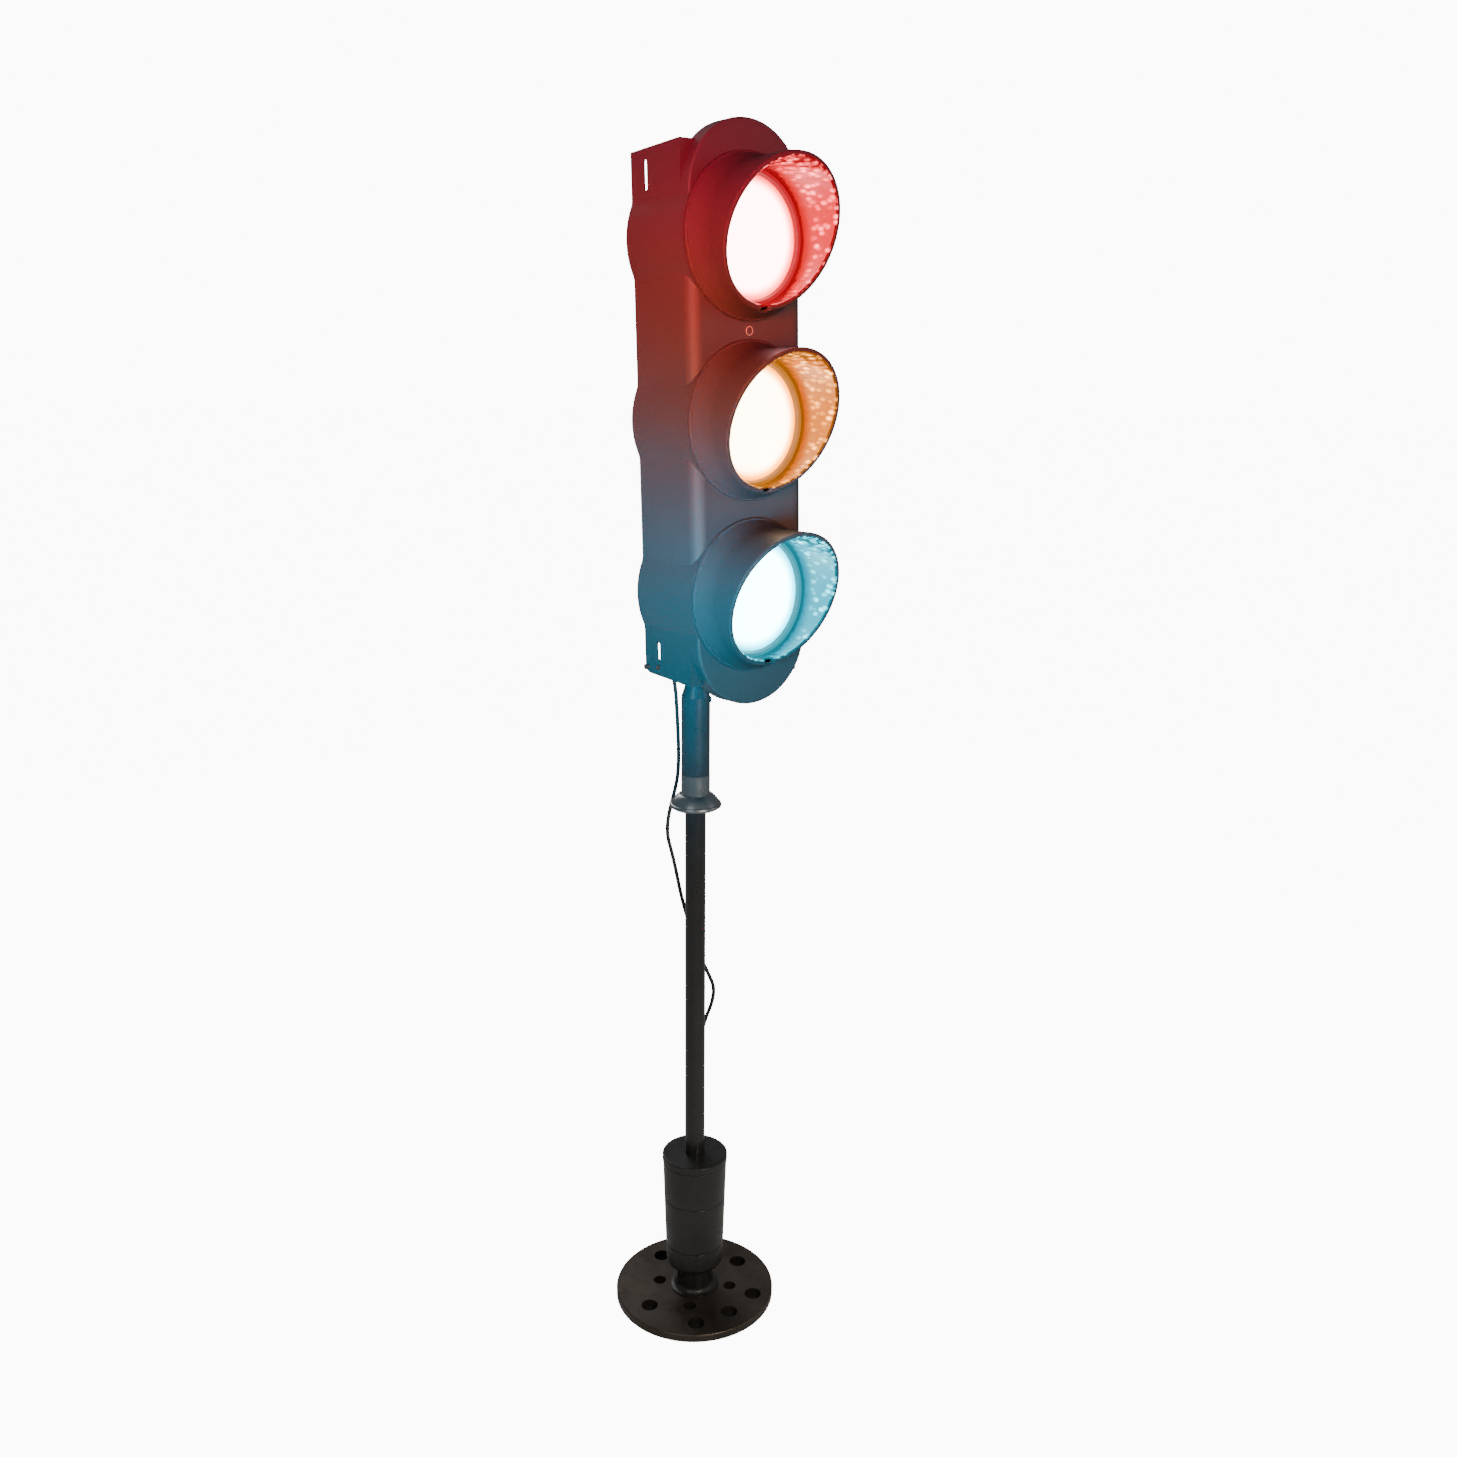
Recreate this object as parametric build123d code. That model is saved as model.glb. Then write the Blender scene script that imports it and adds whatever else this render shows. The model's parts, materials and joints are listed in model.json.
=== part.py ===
from build123d import *
import math
import os

os.makedirs("parts", exist_ok=True)

# Three-aspect traffic signal head on a floor stand. Millimetres, +Z up, the visors face -Y,
# the origin is on the pole's axis at the underside of the base plate.

# ---- base plate ----
PLATE_R = 165.0
PLATE_T = 16.0
PLATE_EDGE = 1.5
OUTER_HOLE_R = 17.0
OUTER_HOLE_CIRCLE_R = 117.0
EXTRA_HOLE_CIRCLE_R = 127.5
EXTRA_HOLE_SPREAD = 36.0
INNER_HOLE_R = 13.0
INNER_HOLE_CIRCLE_R = 74.5

# ---- ballast hub ----
NECK_R = 38.0
NECK_FOOT_R = 50.0
NECK_TOP_Z = 74.0
HUB_Z = (74.0, 125.0, 232.0, 316.0)
HUB_TOP_Z = 332.0
HUB_BOTTOM_R = 58.5
HUB_TOP_R = 65.5
HUB_CAP_R = 66.7
HUB_ROUND = 13.0
HUB_CHAMFER = 1.8
HUB_BORE_R = 20.3
NECK_SCREW_R = 4.0
NECK_SCREW_CIRCLE_R = 30.0

# ---- stand pole, collar and mast ----
POLE_R = 20.0
POLE_WALL = 3.0
POLE_TOP_Z = 1290.0
SHAFT_PLAY = 0.07
COLLAR_RIM_R = 50.0
COLLAR_NECK_R = 27.5
COLLAR_Z = 1083.0
COLLAR_RIM_T = 10.0
COLLAR_DOME_TOP_Z = 1111.0
COLLAR_TOP_Z = 1150.0
SET_SCREW_Z = 1123.0
SET_SCREW_R = 3.0
SLEEVE_R = 27.2
SLEEVE_GAP = 0.3
SLEEVE_TOP_Z = 1303.0
MAST_NECK_Z = 1325.0
MAST_TOP_Z = 2229.0
MAST_WALL = 3.0
MAST_SCREW_Z = 1297.0

# ---- head, in its own frame: face plane y = 0, middle lens at the origin ----
LEAN = 2.2
FACE_Y = -151.5
HEAD_Z = 1815.6
LAMP_PITCH = 297.0
HALF_WIDTH = 120.0
DEPTH = 160.0
WALL = 3.0
SLAB_DEPTH = 38.0
ARCH_TOP_Z = 361.0
ARCH_BOTTOM_Z = -371.0
ROOF_FRONT_Z = 446.0
ROOF_REAR_Z = 437.5
FLOOR_FRONT_Z = -451.0
FLOOR_REAR_Z = -441.0
REAR_CORNER = 12.0
LOBE_R = 134.0
LOBE_BLEND = 30.0
EDGE_ROUND = 4.0
SIDE_ROUND = 22.0
SLAB_PROUD = 1.2
HOUSING_FRONT_Y = 24.0
HOUSING_BLANK = 1000.0
SLOT_Y = 119.0
SLOT_W = 9.0
SLOT_UPPER = (398.0, 49.0)
SLOT_LOWER = (-398.5, 32.0)
FLOOR_NOTCH_W = 110.0
FLOOR_NOTCH_Y = 100.0
MARK_Z = 148.0
MARK_R = 7.0
MARK_TUBE_R = 0.9

# ---- visors and lenses ----
VISOR_FOOT_R = 134.0
VISOR_LIP = 4.0
VISOR_EASE = 3.5
VISOR_RIM_ROUND = 3.0
FLARE_STEPS = 8
VISOR_R = 118.3
VISOR_BORE_R = 109.5
VISOR_FLARE_Y = -50.0
VISOR_TOP_L = 135.0
VISOR_BOTTOM_L = 43.7
VISOR_SKIN = 3.0
VISOR_HOLLOW_Y = -36.0
VISOR_NOTCH_W = 22.0
VISOR_NOTCH_L = 13.0
LENS_OPENING_R = 100.0
LENS_R = 106.0
LENS_EDGE_T = 4.0
LENS_BULGE = 6.0
RING_R = 108.8
RING_T = 7.0
GASKET_T = 3.0
FACE_HOLE_R = 109.5

# ---- back tray and lamps ----
TRAY_Y = 104.0
TRAY_T = 2.5
TRAY_HALF_W = 112.0
TRAY_TOP_Z = 426.0
TRAY_BOTTOM_Z = -436.0
TRAY_LIP = 12.0
SEAL_T = 4.0
BOARD_R = 62.0
BOARD_T = 1.6
BOARD_Y = 88.0
REFLECTOR_R = 97.0
REFLECTOR_Y = 14.0
REFLECTOR_T = 2.0
CHIP_RINGS = ((0.0, 1), (16.0, 6), (32.0, 12), (48.0, 18))
CHIP = 5.0

# ---- shell hinge and closing screw ----
HINGE_Y = 150.0
HINGE_Z = -431.0
PIN_R = 3.0
PIN_HEAD_R = 5.0
PIN_HEAD_T = 6.0
EAR_T = 2.5
EAR_R = 6.0
EAR_GAP = 0.4
HINGE_SCREW_Y = 120.0
HINGE_SCREW_Z = -428.0
KNOB_X = 62.0
KNOB_Y = 130.0
KNOB_R = 9.0
KNOB_H = 8.0
KNOB_STEM_R = 3.0

# ---- mast clamps ----
CLAMP_Z = (-398.0, 398.0)
CLAMP_W = 84.0
CLAMP_H = 28.0
CLAMP_CAP_T = 26.0
CLAMP_SPLIT = 1.0
CLAMP_BOLT_X = 31.0
CLAMP_BOLT_R = 4.0

# ---- wiring, cable and plug ----
DRIVER_SIZE = (70.0, 34.0, 130.0)
CORD_R = 3.75
GLAND_X = -40.0
GLAND_Z = -424.0
GLAND_R = 11.0
GLAND_L = 20.0
RELIEF_L = 26.0
COIL_CENTRE = (160.0, 237.0)
COIL_MID_R = 41.0
COIL_WIDE = 2
COIL_HIGH = 3
CORD_HEADING = 38.6
PLUG_R = 18.5
PLUG_NECK_L = 18.0
PLUG_L = 34.0
PLUG_PIN_R = 2.4
PLUG_PIN_L = 19.0
PLUG_PIN_PITCH = 19.0
CORD_ROUTE = [
    (-40.0, -15.4, 1386.1),
    (-40.0, 1.6, 1385.5),
    (-38.0, 17.3, 1379.0),
    (-34.5, 29.3, 1367.0),
    (-29.5, 35.8, 1351.3),
    (-25.0, 35.8, 1333.0),
    (-22.5, 33.0, 1310.0),
    (-22.0, 30.0, 1273.0),
    (-19.0, 30.5, 1227.0),
    (-14.0, 35.0, 1180.0),
    (-9.5, 44.0, 1138.0),
    (-5.0, 58.0, 1108.0),
    (-9.0, 63.5, 1081.0),
    (-21.0, 61.0, 1049.0),
    (-28.0, 55.0, 1016.0),
    (-22.0, 48.0, 982.0),
    (-16.5, 42.0, 946.0),
    (-9.5, 37.5, 900.0),
    (2.0, 34.5, 853.0),
    (14.0, 30.0, 808.0),
    (26.0, 22.0, 762.0),
    (37.0, 7.0, 722.0),
    (44.0, -6.0, 694.0),
    (40.5, -4.0, 660.0),
    (33.0, 9.0, 620.0),
    (27.0, 20.0, 570.0),
    (25.0, 28.0, 510.0),
    (32.0, 40.0, 450.0),
    (44.0, 54.0, 396.0),
    (54.0, 64.0, 340.0),
    (56.5, 68.0, 270.0),
    (54.0, 69.0, 190.0),
    (54.5, 72.0, 122.0),
    (61.0, 80.0, 72.0),
    (76.0, 96.0, 36.0),
    (97.0, 121.0, 25.0),
    (122.0, 144.5, 16.0),
    (152.5, 165.0, 5.0),
    (171.0, 180.5, 4.2),
    (183.3, 194.4, 4.2),
]

LAMPS = (("top", LAMP_PITCH), ("middle", 0.0), ("bottom", -LAMP_PITCH))
HEAD_PLACE = Location((0, FACE_Y, HEAD_Z), (-LEAN, 0, 0))
ALONG_Y = Rotation(90, 0, 0)


def save(name, shape):
    export_step(shape, f"parts/{name}.step")


def save_head(name, shape):
    """Write a piece drawn in the head's own frame at its leaning place on the mast."""
    save(name, HEAD_PLACE * shape)


def rod(radius, z_low, z_high, x=0.0, y=0.0):
    """An upright cylinder between two heights."""
    height = z_high - z_low
    return Pos(x, y, z_low) * Cylinder(radius, height, align=(Align.CENTER, Align.CENTER, Align.MIN))


def rod_y(radius, y_low, y_high, x=0.0, z=0.0):
    """A cylinder along Y between two depths."""
    middle = (y_low + y_high) / 2
    return Pos(x, middle, z) * ALONG_Y * Cylinder(radius, y_high - y_low)


def rod_x(radius, x_low, x_high, y=0.0, z=0.0):
    """A cylinder along X between two sides."""
    middle = (x_low + x_high) / 2
    return Pos(middle, y, z) * Rotation(0, 90, 0) * Cylinder(radius, x_high - x_low)


def block(x_range, y_range, z_range):
    """A box given by its lowest and highest value on each axis."""
    size = [high - low for low, high in (x_range, y_range, z_range)]
    centre = [(high + low) / 2 for low, high in (x_range, y_range, z_range)]
    return Pos(*centre) * Box(*size)


def turned(points):
    """A solid of revolution about Z from its half profile of (radius, height) points."""
    outline = Polyline(*[(r, 0, z) for r, z in points], close=True)
    return revolve(make_face(outline), Axis.Z)


def turned_y(points, z=0.0):
    """A solid of revolution about a line along Y, from (radius, depth) points."""
    outline = Polyline(*[(r, y, 0) for r, y in points], close=True)
    return Pos(0, 0, z) * revolve(make_face(outline), Axis.Y)


def on_circle(radius, angles):
    """Points on a circle about the origin, at angles in degrees from +X."""
    return [(radius * math.cos(math.radians(a)), radius * math.sin(math.radians(a))) for a in angles]


# ---- the stand ----
def plate_holes():
    """Centre and radius of each through hole of the base plate."""
    outer = on_circle(OUTER_HOLE_CIRCLE_R, (0, 90, 180, 270))
    extra = on_circle(EXTRA_HOLE_CIRCLE_R, (270 - EXTRA_HOLE_SPREAD, 270 + EXTRA_HOLE_SPREAD))
    inner = on_circle(INNER_HOLE_CIRCLE_R, (45, 135, 225, 315))
    return [(p, OUTER_HOLE_R) for p in outer + extra] + [(p, INNER_HOLE_R) for p in inner]


def make_base_plate():
    plate = rod(PLATE_R, 0, PLATE_T)
    plate = chamfer(plate.edges().group_by(Axis.Z)[-1], PLATE_EDGE)
    for (x, y), radius in plate_holes():
        plate -= rod(radius, -1, PLATE_T + 1, x, y)
    for x, y in on_circle(NECK_SCREW_CIRCLE_R, (45, 135, 225, 315)):
        plate -= rod(NECK_SCREW_R, -1, PLATE_T + 1, x, y)
        plate -= rod(NECK_SCREW_R * 1.9, -1, PLATE_T / 2, x, y)
    return plate


def make_neck_screws():
    """Socket screws let into the underside of the plate, up into the neck."""
    screws = []
    for x, y in on_circle(NECK_SCREW_CIRCLE_R, (45, 135, 225, 315)):
        head = rod(NECK_SCREW_R * 1.7, 1.0, PLATE_T / 2, x, y)
        screws.append(head + rod(NECK_SCREW_R - 0.2, 1.0, PLATE_T + 20, x, y))
    return Compound(screws)


def make_hub_neck():
    """The waisted foot under the ballast, flared on to the plate."""
    flare = NECK_FOOT_R - NECK_R
    steps = [math.radians(a) for a in range(0, 91, 15)]
    curve = [(NECK_FOOT_R - flare * math.sin(a), PLATE_T + 3 + flare * (1 - math.cos(a))) for a in steps]
    neck = turned([(HUB_BORE_R, PLATE_T), (NECK_FOOT_R, PLATE_T)] + curve
                  + [(NECK_R, NECK_TOP_Z), (HUB_BORE_R, NECK_TOP_Z)])
    for x, y in on_circle(NECK_SCREW_CIRCLE_R, (45, 135, 225, 315)):
        neck -= rod(NECK_SCREW_R, PLATE_T - 1, PLATE_T + 21, x, y)
    return neck


def hub_radius(z):
    """Outer radius of the tapered ballast stack at a height."""
    low, high = HUB_Z[0], HUB_Z[-1]
    return HUB_BOTTOM_R + (HUB_TOP_R - HUB_BOTTOM_R) * (z - low) / (high - low)


def make_hub_ring(z_low, z_high, rounded):
    """One cast ring of the ballast stack; the lowest has a rounded lower edge."""
    ring = turned([(HUB_BORE_R, z_low), (hub_radius(z_low), z_low),
                   (hub_radius(z_high), z_high), (HUB_BORE_R, z_high)])
    rims = ring.edges().filter_by(GeomType.CIRCLE).sort_by(lambda e: e.radius)[-2:]
    lower, upper = sorted(rims, key=lambda e: e.center().Z)
    ring = fillet([lower], HUB_ROUND if rounded else HUB_CHAMFER)
    upper = [e for e in ring.edges().filter_by(GeomType.CIRCLE) if abs(e.radius - hub_radius(z_high)) < 0.01]
    return fillet(upper, HUB_CHAMFER)


def make_hub_cap():
    cap = rod(HUB_CAP_R, HUB_Z[-1], HUB_TOP_Z) - rod(HUB_BORE_R, 0, HUB_TOP_Z + 1)
    rim = [e for e in cap.edges().filter_by(GeomType.CIRCLE) if e.radius > HUB_BORE_R + 1]
    return fillet(rim, HUB_CHAMFER * 1.5)


def make_pole():
    pole = rod(POLE_R, PLATE_T, POLE_TOP_Z)
    return pole - rod(POLE_R - POLE_WALL, PLATE_T - 1, POLE_TOP_Z + 1)


def make_collar():
    """Domed stop collar with a sleeve above it, clamped on the pole by a set screw."""
    bore = POLE_R + SHAFT_PLAY
    rim_top = COLLAR_Z + COLLAR_RIM_T
    dome_w = COLLAR_RIM_R - 3 - COLLAR_NECK_R
    dome_h = COLLAR_DOME_TOP_Z - rim_top
    steps = [t / 6 for t in range(7)]
    dome = [(COLLAR_NECK_R + dome_w * (1 - t), rim_top + dome_h * (1 - (1 - t) ** 1.8)) for t in steps]
    points = [(bore, COLLAR_Z), (COLLAR_RIM_R - 6, COLLAR_Z), (COLLAR_RIM_R - 1, COLLAR_Z + 3),
              (COLLAR_RIM_R, COLLAR_Z + 6), (COLLAR_RIM_R - 1, rim_top - 1)]
    points += dome + [(COLLAR_NECK_R, COLLAR_TOP_Z), (bore, COLLAR_TOP_Z)]
    collar = turned(points)
    hole = rod_y(SET_SCREW_R, -COLLAR_NECK_R - 2, -POLE_R + 2, 0, SET_SCREW_Z)
    return collar - hole


def make_set_screw():
    """Socket set screw in the front of the collar's sleeve."""
    body = rod_y(SET_SCREW_R - 0.1, -COLLAR_NECK_R + 0.6, -POLE_R - 0.02, 0, SET_SCREW_Z)
    hexagon = extrude(Plane.XZ * RegularPolygon(1.5, 6), 2.5)
    return body - Pos(0, -COLLAR_NECK_R + 3.0, SET_SCREW_Z) * hexagon


# ---- the mast and its clamps ----
def make_head_mast():
    """Swaged tube: a wide sleeve over the pole, necked to the mast that carries the head."""
    inner = POLE_R + SHAFT_PLAY
    bore = POLE_R - MAST_WALL
    bottom = COLLAR_TOP_Z + SLEEVE_GAP
    stop = POLE_TOP_Z + 8
    mast = turned([(inner, bottom), (SLEEVE_R, bottom), (SLEEVE_R, SLEEVE_TOP_Z), (POLE_R, MAST_NECK_Z),
                   (POLE_R, MAST_TOP_Z), (bore, MAST_TOP_Z), (bore, stop), (inner, stop)])
    for angle in (225, 315):
        mast -= mast_screw(angle, SET_SCREW_R + 0.1, 0.0)
    return mast


def mast_screw(angle, radius, sink):
    """A radial screw blank in the sleeve's wall at an angle in degrees from +X."""
    length = SLEEVE_R - POLE_R - 0.2
    middle = POLE_R + 0.2 + length / 2 - sink
    return Rotation(0, 0, angle) * rod_x(radius, middle - length / 2, middle + length / 2, 0, MAST_SCREW_Z)


def make_mast_screws():
    """Button-headed screws that hold the sleeve's upper end."""
    screws = []
    for angle in (225, 315):
        head = rod_x(SET_SCREW_R * 1.8, SLEEVE_R + 0.02, SLEEVE_R + 2.4, 0, MAST_SCREW_Z)
        screws.append(mast_screw(angle, SET_SCREW_R, 0.0) + Rotation(0, 0, angle) * head)
    return Compound(screws)


def make_mast_cap():
    """Plug that closes the mast's upper end."""
    stem = rod(POLE_R - MAST_WALL - 0.05, MAST_TOP_Z - 12, MAST_TOP_Z)
    return stem + rod(POLE_R, MAST_TOP_Z, MAST_TOP_Z + 3)


def mast_axis_y(z):
    """Depth of the mast's axis in the head's frame at a head height."""
    lean = math.radians(LEAN)
    return (-FACE_Y - z * math.sin(lean)) / math.cos(lean)


def mast_bore():
    """The mast's outer surface with a hair of clearance, in the head's frame."""
    return HEAD_PLACE.inverse() * rod(POLE_R + 0.02, MAST_NECK_Z, MAST_TOP_Z + 10)


def clamp_bolts(z, radius):
    """The two bolt shanks of one clamp, tray to cap."""
    rear = mast_axis_y(z) + CLAMP_CAP_T + 6
    return [rod_y(radius, TRAY_Y - 10, rear, x, z) for x in (-CLAMP_BOLT_X, CLAMP_BOLT_X)]


def make_clamp_saddle(z):
    """Block between the tray and the mast, hollowed to the mast's front half."""
    front = TRAY_Y + TRAY_T
    rear = mast_axis_y(z) - CLAMP_SPLIT
    saddle = block((-CLAMP_W / 2, CLAMP_W / 2), (front, rear), (z - CLAMP_H / 2, z + CLAMP_H / 2))
    saddle = fillet(saddle.edges().filter_by(Axis.Y), 3)
    saddle -= mast_bore()
    for shank in clamp_bolts(z, CLAMP_BOLT_R + 0.2):
        saddle -= shank
    return saddle


def make_clamp_cap(z):
    """Rear half of a mast clamp."""
    front = mast_axis_y(z) + CLAMP_SPLIT
    cap = block((-CLAMP_W / 2, CLAMP_W / 2), (front, front + CLAMP_CAP_T), (z - CLAMP_H / 2, z + CLAMP_H / 2))
    cap = fillet(cap.edges().filter_by(Axis.Z).sort_by(Axis.Y)[-2:], 10)
    cap -= mast_bore()
    for x in (-CLAMP_BOLT_X, CLAMP_BOLT_X):
        cap -= rod_y(CLAMP_BOLT_R * 2.2, front + CLAMP_CAP_T - 10, front + CLAMP_CAP_T + 1, x, z)
    for shank in clamp_bolts(z, CLAMP_BOLT_R + 0.2):
        cap -= shank
    return cap


def make_clamp_bolts():
    """Hexagon bolts from the caps through saddles and tray."""
    bolts = []
    for z in CLAMP_Z:
        seat = mast_axis_y(z) + CLAMP_SPLIT + CLAMP_CAP_T - 10
        for x in (-CLAMP_BOLT_X, CLAMP_BOLT_X):
            shank = rod_y(CLAMP_BOLT_R, TRAY_Y - 9, seat + 1, x, z)
            head = Pos(x, seat, z) * extrude(Plane.XZ * RegularPolygon(CLAMP_BOLT_R * 1.85, 6), -5)
            bolts.append(shank + head)
    return Compound(bolts)


def make_clamp_nuts():
    """Nuts on the clamp bolts, in front of the tray."""
    nuts = []
    for z in CLAMP_Z:
        for x in (-CLAMP_BOLT_X, CLAMP_BOLT_X):
            nut = Pos(x, TRAY_Y, z) * extrude(Plane.XZ * RegularPolygon(CLAMP_BOLT_R * 1.85, 6), 6.5)
            nuts.append(nut - rod_y(CLAMP_BOLT_R + 0.02, TRAY_Y - 8, TRAY_Y + 1, x, z))
    return Compound(nuts)


# ---- the moulded shell ----
def side_profile(inset, y_rear):
    """Side view of the rear housing: sloping roof and floor, with the lower rear corner eased."""
    roof_slope = (ROOF_FRONT_Z - ROOF_REAR_Z) / DEPTH
    floor_slope = (FLOOR_REAR_Z - FLOOR_FRONT_Z) / DEPTH
    front = HOUSING_FRONT_Y + inset
    return make_face(Polyline(
        (0, front, ROOF_FRONT_Z - roof_slope * HOUSING_FRONT_Y - inset),
        (0, y_rear, ROOF_REAR_Z - inset - roof_slope * (y_rear - DEPTH)),
        (0, y_rear, FLOOR_REAR_Z + REAR_CORNER * 0.9 + inset),
        (0, y_rear - REAR_CORNER * 0.25, FLOOR_REAR_Z + REAR_CORNER * 0.35 + inset),
        (0, y_rear - REAR_CORNER, FLOOR_REAR_Z + inset - floor_slope * REAR_CORNER),
        (0, front, FLOOR_FRONT_Z + floor_slope * HOUSING_FRONT_Y + inset), close=True))


def housing_outline(inset):
    """Front view of the rear housing: straight sides that swell softly round each lamp."""
    outline = Rectangle(2 * (HALF_WIDTH - inset), HOUSING_BLANK)
    for _, z in LAMPS:
        outline += Pos(0, z) * Circle(LOBE_R - inset)
    corners = [v for v in outline.vertices() if abs(v.Y) < ARCH_TOP_Z]
    return fillet(corners, LOBE_BLEND)


def front_slab(inset, y_front):
    """Round-ended slab that carries the lamps, its long sides rolled softly into the face."""
    half = HALF_WIDTH + SLAB_PROUD - inset
    y_range = (y_front, SLAB_DEPTH - inset)
    slab = block((-half, half), y_range, (ARCH_BOTTOM_Z, ARCH_TOP_Z))
    slab += rod_y(half, *y_range, 0, ARCH_TOP_Z)
    slab += rod_y(half, *y_range, 0, ARCH_BOTTOM_Z)
    slab = fillet(slab.faces().sort_by(Axis.Y)[0].edges(), EDGE_ROUND)
    roll = SIDE_ROUND - inset
    for side in (-1, 1):
        x_range = sorted((side * (half + 1), side * (half - roll)))
        corner = block(x_range, (y_front - 1, y_front + roll), (-LAMP_PITCH, LAMP_PITCH))
        corner -= Pos(side * (half - roll), y_front + roll, 0) * Cylinder(roll, 3 * LAMP_PITCH)
        slab -= corner
    return slab


def shell_body(inset, y_front, y_rear):
    """The head's body shrunk by an inset: rear housing, round-ended front slab and lamp drums."""
    front_plane = Plane((0, y_front, 0), x_dir=(1, 0, 0), z_dir=(0, -1, 0))
    housing = extrude(front_plane * housing_outline(inset), y_rear - y_front, dir=(0, 1, 0))
    housing &= extrude(side_profile(inset, y_rear), 2 * LOBE_R, dir=(1, 0, 0), both=True)
    body = housing + front_slab(inset, y_front)
    for _, z in LAMPS:
        body += rod_y(LOBE_R + SLAB_PROUD - inset, y_front, SLAB_DEPTH - inset, 0, z)
    return body


def strap_slot(z, length):
    """A through-slot across both side walls for a pole strap."""
    return Pos(0, SLOT_Y, z) * Rotation(0, 90, 0) * extrude(SlotOverall(length, SLOT_W), LOBE_R * 1.1, both=True)


def make_front_shell():
    """One-piece moulding: face, sides, roof and floor, open at the back."""
    outer = shell_body(0.0, 0.0, DEPTH)
    shell = outer - shell_body(WALL, WALL, DEPTH + 20)
    for _, z in LAMPS:
        shell -= rod_y(FACE_HOLE_R, -1, WALL + 1, 0, z)
    shell -= strap_slot(*SLOT_UPPER)
    shell -= strap_slot(*SLOT_LOWER)
    shell -= block((-FLOOR_NOTCH_W / 2, FLOOR_NOTCH_W / 2), (FLOOR_NOTCH_Y, DEPTH + 1), (-470, -420))
    shell -= rod_x(PIN_R + 0.05, -150, 150, HINGE_Y, HINGE_Z)
    shell -= rod_x(2.1, -150, 150, HINGE_SCREW_Y, HINGE_SCREW_Z)
    shell -= rod(KNOB_STEM_R + 0.05, 420, 460, KNOB_X, KNOB_Y)
    mark = Pos(0, 0.2, MARK_Z) * ALONG_Y * Torus(MARK_R, MARK_TUBE_R)
    return shell + mark


def visor_outline():
    """Half profile of the hood's outside: drum lip, eased edge, flare and straight tube."""
    edge = []
    for degrees in (0, 30, 60, 90):
        a = math.radians(degrees)
        edge.append((VISOR_FOOT_R - VISOR_EASE * (1 - math.cos(a)), -VISOR_LIP - VISOR_EASE * math.sin(a)))
    top_r, top_y = edge[-1]
    flare = []
    for i in range(1, FLARE_STEPS + 1):
        t = i / FLARE_STEPS
        flare.append((VISOR_R + (top_r - VISOR_R) * (1 - t) ** 2, top_y + (VISOR_FLARE_Y - top_y) * t))
    return [(VISOR_FOOT_R, 0.0)] + edge + flare


def make_visor(z):
    """Flared hood, cut at a slant, with a drain notch at its lowest point."""
    curve = visor_outline()
    front = -VISOR_TOP_L - 20
    outer = turned_y([(VISOR_BORE_R, 0)] + curve + [(VISOR_R, front), (VISOR_BORE_R, front)], z)
    inner_skin = VISOR_BORE_R + VISOR_SKIN
    hollow = [(r - VISOR_SKIN, y + VISOR_SKIN) for r, y in curve if y > VISOR_HOLLOW_Y]
    outer -= turned_y([(inner_skin, VISOR_SKIN)] + hollow + [(inner_skin, VISOR_HOLLOW_Y)], z)
    slope = math.degrees(math.atan2(VISOR_TOP_L - VISOR_BOTTOM_L, 2 * VISOR_R))
    middle = (VISOR_TOP_L + VISOR_BOTTOM_L) / 2
    cutter = Pos(0, -middle, z) * Rotation(slope, 0, 0) * Pos(0, -100, 0) * Box(400, 200, 400)
    visor = outer - cutter
    slant = VISOR_TOP_L - VISOR_BOTTOM_L
    rims = [e for e in visor.edges() if e.bounding_box().size.Y > slant / 2]
    visor = fillet(rims, VISOR_RIM_ROUND)
    notch = block((-VISOR_NOTCH_W / 2, VISOR_NOTCH_W / 2), (-200, -VISOR_BOTTOM_L + VISOR_NOTCH_L),
                  (z - VISOR_R - 5, z - VISOR_BORE_R + 8))
    return visor - notch


def make_lens(z):
    """Domed coloured lens with a flat seat round its edge."""
    steps = [t / 6 for t in range(7)]
    dome = [(LENS_OPENING_R * (1 - t), -LENS_BULGE * math.sin(t * math.pi / 2)) for t in steps]
    back = [(0.0, LENS_EDGE_T - LENS_BULGE)] + [(LENS_OPENING_R * t, LENS_EDGE_T
            - LENS_BULGE * math.cos(t * math.pi / 2)) for t in steps[1:]]
    return turned_y([(LENS_R, 0)] + dome + back + [(LENS_R, LENS_EDGE_T)], z)


def make_lens_ring(z):
    """Bevelled retaining ring in front of the lens."""
    return turned_y([(LENS_OPENING_R, 0), (LENS_OPENING_R, -RING_T + 4), (LENS_OPENING_R + 3, -RING_T),
                     (RING_R, -RING_T), (RING_R, 0)], z)


def make_lens_gasket(z):
    """Rubber channel behind the lens, pressed against the shell by four clips."""
    seat = LENS_EDGE_T
    return turned_y([(LENS_OPENING_R, seat), (RING_R + 6, seat), (RING_R + 6, seat + GASKET_T),
                     (LENS_OPENING_R, seat + GASKET_T)], z)


def make_lens_clips():
    """Four sprung clips behind each lens gasket, on the inside of the face."""
    clips = []
    for _, z in LAMPS:
        for dx, dz in on_circle(LENS_R + 4, (45, 135, 225, 315)):
            seat = LENS_EDGE_T + GASKET_T
            clips.append(rod_y(7.0, seat, seat + 2.5, dx, z + dz))
    return Compound(clips)


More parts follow.
